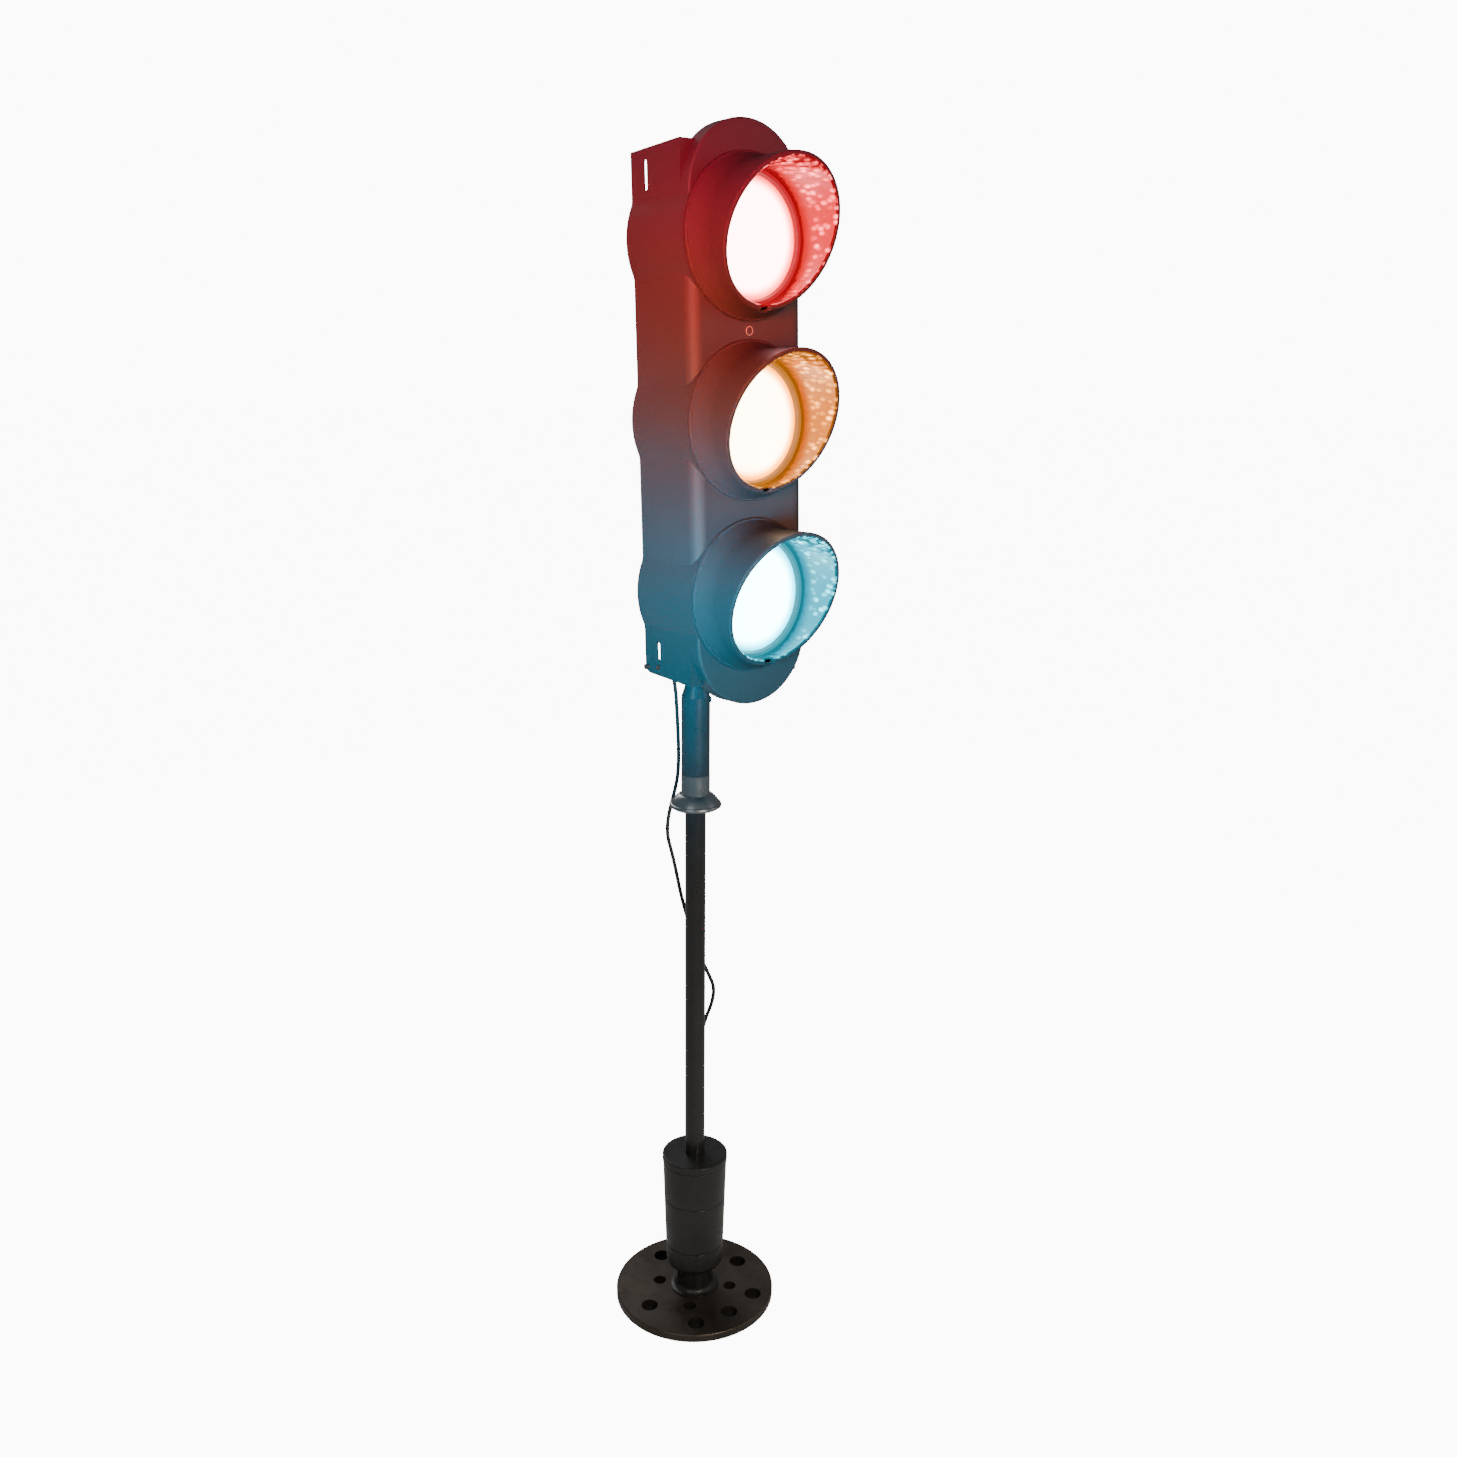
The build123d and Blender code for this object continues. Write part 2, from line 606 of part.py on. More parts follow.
# ---- back tray, lamps and wiring ----
def make_back_tray():
    """Folded steel tray that carries lamps, wiring and mast clamps."""
    half = TRAY_HALF_W
    rear = TRAY_Y + TRAY_T
    tray = block((-half, half), (TRAY_Y - TRAY_LIP, rear), (TRAY_BOTTOM_Z, TRAY_TOP_Z))
    tray -= block((-half + TRAY_T, half - TRAY_T), (0, TRAY_Y), (TRAY_BOTTOM_Z + TRAY_T, TRAY_TOP_Z - TRAY_T))
    for side in (-1, 1):
        near = HALF_WIDTH - WALL - EAR_T - EAR_GAP - 0.1
        ear_x = sorted((side * near, side * (near - EAR_T)))
        tray += block(ear_x, (rear - 0.01, HINGE_Y), (HINGE_Z - EAR_R, HINGE_Z + 10))
        tray += rod_x(EAR_R, *ear_x, HINGE_Y, HINGE_Z)
        tray += block(sorted((side * near, side * (near - 14))), (TRAY_Y, rear), (HINGE_Z - 5, HINGE_Z + 10))
    tray -= rod_x(PIN_R + 0.05, -150, 150, HINGE_Y, HINGE_Z)
    tray += block((KNOB_X - 9, KNOB_X + 9), (rear - 0.01, KNOB_Y + 9), (TRAY_TOP_Z - TRAY_T, TRAY_TOP_Z))
    tray -= rod(KNOB_STEM_R + 0.3, TRAY_TOP_Z - 9, TRAY_TOP_Z + 5, KNOB_X, KNOB_Y)
    for z in CLAMP_Z:
        for shank in clamp_bolts(z, CLAMP_BOLT_R + 0.2):
            tray -= shank
    tray -= rod_y(GLAND_R * 0.62, TRAY_Y - 5, rear + 5, GLAND_X, GLAND_Z)
    return tray


def make_tray_seal():
    """Foam strip round the tray's rim, just clear of the shell's walls."""
    half = TRAY_HALF_W + SEAL_T
    y_range = (TRAY_Y - TRAY_LIP, TRAY_Y)
    seal = block((-half, half), y_range, (TRAY_BOTTOM_Z - SEAL_T, TRAY_TOP_Z + SEAL_T))
    return seal - block((-TRAY_HALF_W, TRAY_HALF_W), (0, 200), (TRAY_BOTTOM_Z, TRAY_TOP_Z))


def make_reflector(z):
    """Flared cup from the lamp board to the lens."""
    small = BOARD_R + 1
    return turned_y([(small, BOARD_Y), (REFLECTOR_R, REFLECTOR_Y), (REFLECTOR_R + REFLECTOR_T, REFLECTOR_Y),
                     (small + REFLECTOR_T, BOARD_Y + REFLECTOR_T), (small - 4, BOARD_Y + REFLECTOR_T),
                     (small - 4, BOARD_Y)], z)


def make_lamp_base(z):
    """Cast carrier between the tray and the reflector, with cooling ribs inside its wall."""
    rear = TRAY_Y
    front = BOARD_Y + REFLECTOR_T
    base = rod_y(BOARD_R + 3, front, rear, 0, z) - rod_y(BOARD_R - 1, front - 1, rear - 4, 0, z)
    for x, dz in on_circle(BOARD_R - 12, (30, 90, 150, 210, 270, 330)):
        base += rod_y(4.0, front, rear - 3, x, z + dz)
    return base


def make_lamp_board(z):
    """Round lamp board with rings of light-emitting chips."""
    front = BOARD_Y + REFLECTOR_T
    board = rod_y(BOARD_R - 7, front - BOARD_T, front - 0.02, 0, z)
    for radius, count in CHIP_RINGS:
        angles = [360 * i / count for i in range(count)]
        for x, dz in on_circle(radius, angles):
            board += block((x - CHIP / 2, x + CHIP / 2), (front - BOARD_T - 1.4, front - BOARD_T + 0.1),
                           (z + dz - CHIP / 2, z + dz + CHIP / 2))
    return board


def make_driver():
    """Lamp power supply and sequencer box on the tray."""
    w, d, h = DRIVER_SIZE
    z = LAMP_PITCH / 2
    box = block((-w / 2, w / 2), (TRAY_Y - d, TRAY_Y), (z - h / 2, z + h / 2))
    return fillet(box.edges().filter_by(Axis.Y), 1.5)


def make_terminal_block():
    """Row of screw terminals above the cable gland."""
    base = block((-100, -58), (TRAY_Y - 16, TRAY_Y), (-150, -134))
    for i in range(5):
        base -= rod_y(2.0, TRAY_Y - 20, TRAY_Y - 9, -96 + i * 8.5, -142)
    return base


def make_cable_gland():
    """Hexagon gland in the tray's rear wall, with its lock nut in front."""
    rear = TRAY_Y + TRAY_T
    flange = Pos(GLAND_X, rear, GLAND_Z) * extrude(Plane.XZ * RegularPolygon(GLAND_R, 6), -8)
    body = rod_y(GLAND_R * 0.6, TRAY_Y - 6, rear + GLAND_L, GLAND_X, GLAND_Z)
    nut = Pos(GLAND_X, TRAY_Y, GLAND_Z) * extrude(Plane.XZ * RegularPolygon(GLAND_R, 6), 4)
    return flange + body + nut


def make_strain_relief():
    """Tapered rubber boot that the cable leaves the gland through."""
    start = TRAY_Y + TRAY_T + GLAND_L
    boot = Pos(GLAND_X, start + RELIEF_L / 2, GLAND_Z) * ALONG_Y
    return boot * Cone(CORD_R + 0.6, GLAND_R * 0.58, RELIEF_L)


def cord_path():
    """Straight runs of the cable's route joined by the largest arcs that they allow."""
    points = [Vector(*p) for p in CORD_ROUTE]
    radii = []
    for before, here, after in zip(points, points[1:], points[2:]):
        first, second = here - before, after - here
        half_turn = math.radians(first.get_angle(second)) / 2
        radii.append(0.45 * min(first.length, second.length) / math.tan(half_turn))
    print("cable arc radii:", [round(r) for r in radii])
    return FilletPolyline(*points, radius=radii)


def make_power_cord():
    """Free cable from the strain relief, down behind the pole to its coil on the floor."""
    path = cord_path()
    section = Plane(origin=path @ 0, z_dir=path % 0) * Circle(CORD_R)
    cord = sweep(section, path)
    print("cable volume / (section x length):", round(cord.volume / (math.pi * CORD_R ** 2 * path.length), 4))
    return cord


def make_cord_coil():
    """Outer shape of the put-away turns that lie on the floor."""
    x, y = COIL_CENTRE
    half = COIL_WIDE * CORD_R
    ring = rod(COIL_MID_R + half, 0, COIL_HIGH * 2 * CORD_R, x, y)
    return ring - rod(COIL_MID_R - half, -1, 100, x, y)


def make_plug():
    """Round mains plug lying on the floor beside the coil, two pins and a tapered neck."""
    neck = rod_y(CORD_R + 1.5, -PLUG_NECK_L, 0)
    body = rod_y(PLUG_R - 1, 0, PLUG_L) + rod_y(PLUG_R, 8, PLUG_L - 6)
    plug = neck + body
    for x in (-PLUG_PIN_PITCH / 2, PLUG_PIN_PITCH / 2):
        plug += rod_y(PLUG_PIN_R, PLUG_L - 1, PLUG_L + PLUG_PIN_L, x)
    outer_turn = COIL_MID_R + CORD_R
    leave = math.sqrt((COIL_MID_R + COIL_WIDE * CORD_R) ** 2 - outer_turn ** 2)
    at_coil = Pos(COIL_CENTRE[0], COIL_CENTRE[1], PLUG_R) * Rotation(0, 0, -CORD_HEADING)
    return at_coil * Pos(outer_turn, leave + PLUG_NECK_L, 0) * plug


# ---- shell hinge and closing screw ----
def make_hinge_pins():
    """Headed pins through the shell's sides into the tray's ears."""
    pins = []
    for side in (-1, 1):
        wall = side * HALF_WIDTH
        inner = side * (HALF_WIDTH - WALL - 2 * EAR_T - 2 * EAR_GAP - 0.6)
        head = rod_x(PIN_HEAD_R, *sorted((wall, wall + side * PIN_HEAD_T)), HINGE_Y + 3, HINGE_Z)
        pins.append(rod_x(PIN_R, *sorted((wall, inner)), HINGE_Y, HINGE_Z) + head)
    return Compound(pins)


def make_hinge_plates():
    """Steel plates inside the shell's sides that carry the pins."""
    plates = []
    for side in (-1, 1):
        wall = side * (HALF_WIDTH - WALL)
        plate = block(sorted((wall, wall - side * EAR_T)), (HINGE_SCREW_Y - 8, HINGE_Y + 7),
                      (HINGE_Z - 6, HINGE_Z + 12))
        plate -= rod_x(PIN_R + 0.03, -150, 150, HINGE_Y, HINGE_Z)
        plates.append(plate - rod_x(2.1, -150, 150, HINGE_SCREW_Y, HINGE_SCREW_Z))
    return Compound(plates)


def make_hinge_screws():
    """Pan-headed screws that fix the hinge plates."""
    screws = []
    for side in (-1, 1):
        wall = side * HALF_WIDTH
        inner = side * (HALF_WIDTH - WALL - EAR_T)
        head = rod_x(4.0, *sorted((wall, wall + side * 2.2)), HINGE_SCREW_Y, HINGE_SCREW_Z)
        screws.append(rod_x(2.0, *sorted((wall, inner)), HINGE_SCREW_Y, HINGE_SCREW_Z) + head)
    return Compound(screws)


def make_closing_knob():
    """Knurled captive screw in the roof, over the tray's tab."""
    roof = ROOF_FRONT_Z - (ROOF_FRONT_Z - ROOF_REAR_Z) * KNOB_Y / DEPTH + 0.8
    knob = rod(KNOB_R, roof, roof + KNOB_H, KNOB_X, KNOB_Y)
    knob = chamfer(knob.edges().filter_by(GeomType.CIRCLE), 1)
    for x, y in on_circle(KNOB_R, range(0, 360, 30)):
        knob -= rod(0.9, roof - 1, roof + KNOB_H + 1, KNOB_X + x, KNOB_Y + y)
    return knob + rod(KNOB_STEM_R, TRAY_TOP_Z + 3, roof + 1, KNOB_X, KNOB_Y)


def save_stand():
    save("base_plate", make_base_plate())
    save("neck_screws", make_neck_screws())
    save("hub_neck", make_hub_neck())
    names = ("lower", "middle", "upper")
    for i, name in enumerate(names):
        save(f"ballast_ring_{name}", make_hub_ring(HUB_Z[i], HUB_Z[i + 1], i == 0))
    save("hub_cap", make_hub_cap())
    save("pole", make_pole())
    save("collar", make_collar())
    save("collar_set_screw", make_set_screw())


def save_mast():
    save("head_mast", make_head_mast())
    save("mast_screws", make_mast_screws())
    save("mast_cap", make_mast_cap())
    for name, z in zip(("lower", "upper"), CLAMP_Z):
        save_head(f"clamp_saddle_{name}", make_clamp_saddle(z))
        save_head(f"clamp_cap_{name}", make_clamp_cap(z))
    save_head("clamp_bolts", make_clamp_bolts())
    save_head("clamp_nuts", make_clamp_nuts())


def save_tray():
    save_head("back_tray", make_back_tray())
    save_head("tray_seal", make_tray_seal())
    for name, z in LAMPS:
        save_head(f"reflector_{name}", make_reflector(z))
        save_head(f"lamp_base_{name}", make_lamp_base(z))
        save_head(f"lamp_board_{name}", make_lamp_board(z))
    save_head("driver_box", make_driver())
    save_head("terminal_block", make_terminal_block())
    save_head("cable_gland", make_cable_gland())
    save_head("strain_relief", make_strain_relief())
    save("power_cord", make_power_cord())
    save("cord_coil", make_cord_coil())
    save("plug", make_plug())


def save_shell():
    save_head("front_shell", make_front_shell())
    for name, z in LAMPS:
        save_head(f"visor_{name}", make_visor(z))
        save_head(f"lens_{name}", make_lens(z))
        save_head(f"lens_ring_{name}", make_lens_ring(z))
        save_head(f"lens_gasket_{name}", make_lens_gasket(z))
    save_head("lens_clips", make_lens_clips())
    save_head("hinge_pins", make_hinge_pins())
    save_head("hinge_plates", make_hinge_plates())
    save_head("hinge_screws", make_hinge_screws())
    save_head("closing_knob", make_closing_knob())


save_stand()
save_mast()
save_tray()
save_shell()
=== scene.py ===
# %% [markdown]
# # Traffic signal head on a floor stand
# The real object is a plastic signal housing with three lamps, clamped to a steel mast that stands on a
# weighted foot. The moulded, turned and cast parts come from the CAD frame. This lesson adds what the CAD
# leaves plain: the finish of each material, the hanging cable, the small wiring and the lit lenses.

# %% Load the frame
import json
import math

import bmesh
import bpy
from mathutils import Matrix, Vector


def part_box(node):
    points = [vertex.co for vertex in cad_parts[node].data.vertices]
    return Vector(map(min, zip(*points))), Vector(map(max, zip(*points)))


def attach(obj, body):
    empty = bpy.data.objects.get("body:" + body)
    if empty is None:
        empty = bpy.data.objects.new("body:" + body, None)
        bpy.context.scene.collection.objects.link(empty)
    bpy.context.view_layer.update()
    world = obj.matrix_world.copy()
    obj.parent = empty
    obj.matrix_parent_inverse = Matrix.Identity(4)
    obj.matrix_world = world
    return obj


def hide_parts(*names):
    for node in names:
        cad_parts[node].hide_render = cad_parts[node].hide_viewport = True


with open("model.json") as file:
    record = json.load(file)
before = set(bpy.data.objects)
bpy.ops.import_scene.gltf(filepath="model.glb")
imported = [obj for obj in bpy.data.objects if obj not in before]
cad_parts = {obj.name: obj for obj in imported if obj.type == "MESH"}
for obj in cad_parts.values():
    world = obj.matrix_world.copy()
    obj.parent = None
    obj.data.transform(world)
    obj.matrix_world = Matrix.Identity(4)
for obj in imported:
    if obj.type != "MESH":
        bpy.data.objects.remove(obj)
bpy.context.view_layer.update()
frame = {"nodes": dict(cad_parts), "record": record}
nodes = frame["nodes"]
MM = 0.001

# %% [markdown]
# The camera stands in front and to one side, a little above the lamps, and looks slightly down. All three
# visors are then seen from inside as well as from outside, and the foot shows its holes. Its place was
# found beforehand by a fit on the parts' outlines, so it is given as plain numbers.

# %% Camera
CAMERA_PLACE = Vector((-1.55423, -2.03694, 1.95483))
CAMERA_AZIMUTH = math.radians(-38.7314)
CAMERA_ELEVATION = math.radians(15.6029)
CAMERA_ROLL = math.radians(0.4971)
SENSOR = 36.0
LENS = 34.73

camera_data = bpy.data.cameras.new("Camera")
camera_data.sensor_width = SENSOR
camera_data.lens = LENS
camera_data.dof.use_dof = False
camera_data.clip_end = 200
camera = bpy.data.objects.new("Camera", camera_data)
turn = Matrix.Rotation(CAMERA_AZIMUTH, 4, "Z")
tilt = Matrix.Rotation(math.pi / 2 - CAMERA_ELEVATION, 4, "X")
roll = Matrix.Rotation(CAMERA_ROLL, 4, "Z")
camera.matrix_world = Matrix.Translation(CAMERA_PLACE) @ turn @ tilt @ roll
bpy.context.scene.collection.objects.link(camera)
bpy.context.scene.camera = camera
print("camera at", tuple(round(v, 3) for v in CAMERA_PLACE))

# %% [markdown]
# The cable is one length of round 7.5 mm flex. It leaves a strain relief under the housing, hangs beside
# the pole, crosses behind it and lies on the floor, and the spare length is wound up behind the foot. It
# is made as one smooth line through loose control points, because a real flex has no corners.

# %% Power cable
CORD_D = 7.5
ROUTE = [
    (-40.0, -15.4, 1386.1), (-40.0, 1.6, 1385.5), (-38.0, 17.3, 1379.0), (-34.5, 29.3, 1367.0),
    (-29.5, 35.8, 1351.3), (-25.0, 35.8, 1333.0), (-22.5, 33.0, 1310.0), (-22.0, 30.0, 1273.0),
    (-19.0, 30.5, 1227.0), (-14.0, 35.0, 1180.0), (-9.5, 44.0, 1138.0), (-5.0, 58.0, 1108.0),
    (-9.0, 63.5, 1081.0), (-21.0, 61.0, 1049.0), (-28.0, 55.0, 1016.0), (-22.0, 48.0, 982.0),
    (-16.5, 42.0, 946.0), (-9.5, 37.5, 900.0), (2.0, 34.5, 853.0), (14.0, 30.0, 808.0),
    (26.0, 22.0, 762.0), (37.0, 7.0, 722.0), (44.0, -6.0, 694.0), (40.5, -4.0, 660.0),
    (33.0, 9.0, 620.0), (27.0, 20.0, 570.0), (25.0, 28.0, 510.0), (32.0, 40.0, 450.0),
    (44.0, 54.0, 396.0), (54.0, 64.0, 340.0), (56.5, 68.0, 270.0), (54.0, 69.0, 190.0),
    (54.5, 72.0, 122.0), (61.0, 80.0, 72.0), (76.0, 96.0, 36.0), (97.0, 121.0, 25.0),
    (122.0, 144.5, 16.0), (152.5, 165.0, 5.0), (171.0, 180.5, 4.2), (183.3, 194.4, 4.2),
]
COIL_CENTRE = (160.0, 237.0)
COIL_START = math.atan2(-0.6237, 0.7815)
COIL_OUT, COIL_IN, COIL_MID = 44.75, 37.25, 41.5
LAYERS = (3.75, 11.25, 18.75, 26.0)
POINTS_PER_TURN = 16
# Turns wound so far, radius and height of the winding there.
WINDING = [
    (0.0, COIL_OUT, LAYERS[0]), (0.85, COIL_OUT, LAYERS[0]), (1.0, COIL_IN, LAYERS[0]),
    (1.68, COIL_IN, LAYERS[0]), (1.83, COIL_IN, LAYERS[1]), (2.51, COIL_IN, LAYERS[1]),
    (2.66, COIL_OUT, LAYERS[1]), (3.28, COIL_OUT, LAYERS[1]), (3.38, COIL_OUT, LAYERS[2]),
    (3.49, COIL_IN, LAYERS[2]), (4.02, COIL_IN, LAYERS[2]), (4.25, COIL_MID, LAYERS[3]),
    (4.5, COIL_MID, LAYERS[3]), (4.75, COIL_OUT, LAYERS[2]), (5.0, COIL_OUT, LAYERS[2]),
]


def winding_at(t):
    """Radius and height of the coil after t turns."""
    for (t0, r0, z0), (t1, r1, z1) in zip(WINDING, WINDING[1:]):
        if t <= t1:
            u = (t - t0) / (t1 - t0)
            return r0 + (r1 - r0) * u, z0 + (z1 - z0) * u
    return WINDING[-1][1:]


def coil_points():
    points = []
    steps = int(WINDING[-1][0] * POINTS_PER_TURN)
    for i in range(1, steps + 1):
        t = i / POINTS_PER_TURN
        r, z = winding_at(t)
        a = COIL_START + t * 2 * math.pi
        points.append((COIL_CENTRE[0] + r * math.cos(a), COIL_CENTRE[1] + r * math.sin(a), z))
    ahead = Vector((-math.sin(COIL_START), math.cos(COIL_START), 0))
    last = Vector(points[-1])
    for step in (7.0, 13.0, 18.7):
        points.append(tuple(last + ahead * step))
    return points


def spline_curve(name, points, diameter, order=3):
    """A round cable along one smooth open spline. Points are in millimetres."""
    data = bpy.data.curves.new(name, "CURVE")
    data.dimensions = "3D"
    spline = data.splines.new("NURBS")
    spline.points.add(len(points) - 1)
    for p, co in zip(spline.points, points):
        p.co = (co[0] * MM, co[1] * MM, co[2] * MM, 1)
        p.radius = diameter / 2 * MM
    spline.order_u = order
    spline.use_endpoint_u = True
    spline.resolution_u = 8
    data.bevel_depth = 1.0
    data.bevel_resolution = 5
    data.use_fill_caps = True
    obj = bpy.data.objects.new(name, data)
    bpy.context.scene.collection.objects.link(obj)
    return obj


cable = spline_curve("power_cable", ROUTE + coil_points(), CORD_D)
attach(cable, "head")
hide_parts("power_cord", "cord_coil")
print("cable points", len(ROUTE) + len(coil_points()))

# %% [markdown]
# Every material is made from noise in the object's own metres, so a scratch or a grain keeps its real
# size on any part. One builder makes them all: a cloudy colour, a grain that varies the gloss, fine
# scratches and a bump. The shares differ, because a powder coat, a moulding and a casting differ.

# %% Material builder
def new_material(name):
    mat = bpy.data.materials.new(name)
    mat.use_nodes = True
    tree = mat.node_tree
    return mat, tree, tree.nodes["Principled BSDF"]


def add(tree, kind, **inputs):
    """A node with its unlinked inputs set by name, spaces written as underscores."""
    node = tree.nodes.new(kind)
    for key, value in inputs.items():
        node.inputs[key.replace("_", " ")].default_value = value
    return node


def noise(tree, place, scale, detail=4.0, rough=0.6):
    node = add(tree, "ShaderNodeTexNoise", Scale=scale, Detail=detail, Roughness=rough)
    tree.links.new(place, node.inputs["Vector"])
    return node.outputs["Fac"]


def spread(tree, value, low, high, start=0.3, end=0.7):
    node = add(tree, "ShaderNodeMapRange")
    for key, v in (("From Min", start), ("From Max", end), ("To Min", low), ("To Max", high)):
        node.inputs[key].default_value = v
    tree.links.new(value, node.inputs["Value"])
    return node.outputs["Result"]


def mixed(tree, amount, first, second):
    """Colour mix; each colour is a triple or another node's output."""
    node = tree.nodes.new("ShaderNodeMix")
    node.data_type = "RGBA"
    tree.links.new(amount, node.inputs["Factor"])
    for socket, value in ((node.inputs[6], first), (node.inputs[7], second)):
        if isinstance(value, tuple):
            socket.default_value = (*value, 1)
        else:
            tree.links.new(value, socket)
    return node.outputs[2]


def stretched(tree, place, scale):
    node = tree.nodes.new("ShaderNodeMapping")
    node.inputs["Scale"].default_value = scale
    tree.links.new(place, node.inputs["Vector"])
    return node.outputs["Vector"]


def surface(name, dark, light, rough, metal=0.0, cloud=9.0, grain=900.0, bump=0.15, coat=0.0,
            scratch=None, scratch_scale=(60, 60, 6), worn=0.0, depth=0.0002):
    """Cloudy two-tone colour, varied gloss, optional scratches, and a grain bump of real depth."""
    mat, tree, bsdf = new_material(name)
    place = tree.nodes.new("ShaderNodeTexCoord").outputs["Object"]
    clouds = spread(tree, noise(tree, place, cloud), 0, 1)
    colour = mixed(tree, clouds, dark, light)
    smudge = spread(tree, noise(tree, place, cloud * 4, 6.0), rough[0], rough[1])
    if scratch:
        lines = noise(tree, stretched(tree, place, scratch_scale), 5.0, 8.0, 0.75)
        marks = spread(tree, lines, 0, worn, 0.64, 0.76)
        colour = mixed(tree, marks, colour, scratch)
    grains = noise(tree, place, grain, 3.0)
    bumper = add(tree, "ShaderNodeBump", Strength=bump, Distance=depth)
    tree.links.new(grains, bumper.inputs["Height"])
    tree.links.new(colour, bsdf.inputs["Base Color"])
    tree.links.new(smudge, bsdf.inputs["Roughness"])
    tree.links.new(bumper.outputs["Normal"], bsdf.inputs["Normal"])
    bsdf.inputs["Metallic"].default_value = metal
    bsdf.inputs["Coat Weight"].default_value = coat
    bsdf.inputs["Coat Roughness"].default_value = 0.12
    return mat


# %% [markdown]
# The housing is a satin black moulding and the stand is black paint over steel and iron. The collar is
# bare turned steel that has gone dull, and the foot plate is a darker, browner casting whose paint has
# rubbed. The hidden lamp parts are white, silver and zinc, as in any lamp that is opened for service.

# %% Materials for the CAD nodes
STEEL = (0.30, 0.29, 0.28)
FINISHES = {
    "shell_plastic": surface("Shell_plastic", (0.023, 0.023, 0.025), (0.027, 0.027, 0.030), (0.44, 0.48),
                             cloud=3, grain=1800, bump=0.04),
    "black_plastic": surface("Black_plastic", (0.012, 0.012, 0.013), (0.022, 0.022, 0.023), (0.35, 0.5),
                             grain=1600, bump=0.2),
    "black_rubber": surface("Black_rubber", (0.010, 0.010, 0.010), (0.020, 0.020, 0.019), (0.62, 0.8),
                            grain=700, bump=0.25),
    "cable_sheath": surface("Cable_sheath", (0.012, 0.012, 0.013), (0.022, 0.022, 0.024), (0.38, 0.55),
                            grain=1500, bump=0.12, scratch=(0.06, 0.06, 0.06), worn=0.4),
    "pole_paint": surface("Pole_paint", (0.011, 0.011, 0.012), (0.022, 0.021, 0.021), (0.24, 0.42),
                          grain=1100, bump=0.12, coat=0.15, scratch=STEEL, worn=0.35),
    "mast_paint": surface("Mast_paint", (0.018, 0.021, 0.025), (0.028, 0.031, 0.036), (0.26, 0.40),
                          grain=1100, bump=0.12, coat=0.2, scratch=STEEL, worn=0.4),
    "hub_iron": surface("Hub_iron", (0.011, 0.011, 0.011), (0.024, 0.022, 0.021), (0.28, 0.46),
                        grain=520, bump=0.3, coat=0.1, scratch=STEEL, worn=0.3, scratch_scale=(12, 12, 60)),
    "plate_iron": surface("Plate_iron", (0.060, 0.048, 0.039), (0.105, 0.087, 0.072), (0.30, 0.46),
                          metal=0.7, grain=420, bump=0.3, scratch=(0.16, 0.14, 0.12), worn=0.6,
                          scratch_scale=(40, 6, 40)),
    "collar_grey": surface("Collar_grey", (0.22, 0.22, 0.23), (0.32, 0.32, 0.33), (0.26, 0.38),
                           metal=0.9, grain=900, bump=0.12, scratch=(0.45, 0.45, 0.45), worn=0.5),
    "zinc": surface("Zinc", (0.36, 0.36, 0.35), (0.52, 0.52, 0.50), (0.28, 0.45), metal=1.0, cloud=60,
                    grain=1200, bump=0.15),
    "cast_aluminium": surface("Cast_aluminium", (0.30, 0.30, 0.30), (0.42, 0.42, 0.42), (0.42, 0.58),
                              metal=1.0, cloud=30, grain=700, bump=0.35),
    "tray_paint": surface("Tray_paint", (0.028, 0.029, 0.031), (0.045, 0.046, 0.048), (0.35, 0.5),
                          grain=1200, bump=0.2, scratch=STEEL, worn=0.4),
    "reflector_silver": surface("Reflector_silver", (0.62, 0.62, 0.62), (0.74, 0.74, 0.74), (0.08, 0.16),
                                metal=1.0, cloud=20, grain=900, bump=0.03),
    "board_white": surface("Board_white", (0.55, 0.56, 0.53), (0.66, 0.67, 0.64), (0.3, 0.42), cloud=40,
                           grain=1400, bump=0.08),
    "driver_plastic": surface("Driver_plastic", (0.16, 0.17, 0.19), (0.21, 0.22, 0.24), (0.38, 0.5),
                              cloud=30, grain=1500, bump=0.2),
    "white_plastic": surface("White_plastic", (0.55, 0.54, 0.50), (0.64, 0.63, 0.59), (0.35, 0.45),
                             cloud=40, grain=1500, bump=0.12),
}
print("finishes", len(FINISHES))

# %% [markdown]
# The hoods are the same plastic as the housing, polished on the inside, where the mould left a faint
# pebble. On the real hood that pebble breaks the lens light into bright flecks. Here those flecks are
# painted reflections: a glow drawn at the middle of each pebble. The whole inside also has a weak painted
# glow of the lamp's light. Its colour is tinted with the lamp's colour, and with a metal-like sheen its
# reflections take the lamp's own colour, a painted reflection. The inside is told from the outside by its
# distance from the lamp's axis.

# %% Hoods with a glossy pebbled inside and painted lamp light
LEAN = math.radians(2.2)
LAMP_AXIS = Vector((0, -math.cos(LEAN), math.sin(LEAN)))
HOOD_BORE_R = 0.1095
HOOD_PEBBLE = 100.0
PEBBLE_STRETCH = (1, 0.5, 1)
HOOD_PAINTED_GLOW = 0.30
GLINT_PAINTED_GLOW = 6.0
PAINTED_GLINT_START = 0.030
HOOD_PAINTED_TINT = 0.07
HOOD_PAINTED_SHEEN = 0.8
HOOD_SPECULAR = 0.12
INSIDE_ROUGHNESS = 0.14
PEBBLE_STRENGTH = 0.55
PEBBLE_DEPTH = 0.0012
PAINTED_GLINT_FADE = 0.02


def product(tree, first, second):
    node = tree.nodes.new("ShaderNodeMath")
    node.operation = "MULTIPLY"
    tree.links.new(first, node.inputs[0])
    tree.links.new(second, node.inputs[1])
    return node.outputs["Value"]


def vector_step(tree, operation, source, other=None):
    """A vector sum whose second input, if it has one, is a constant."""
    node = tree.nodes.new("ShaderNodeVectorMath")
    node.operation = operation
    tree.links.new(source, node.inputs[0])
    if other is not None:
        node.inputs[1].default_value = other
    return node


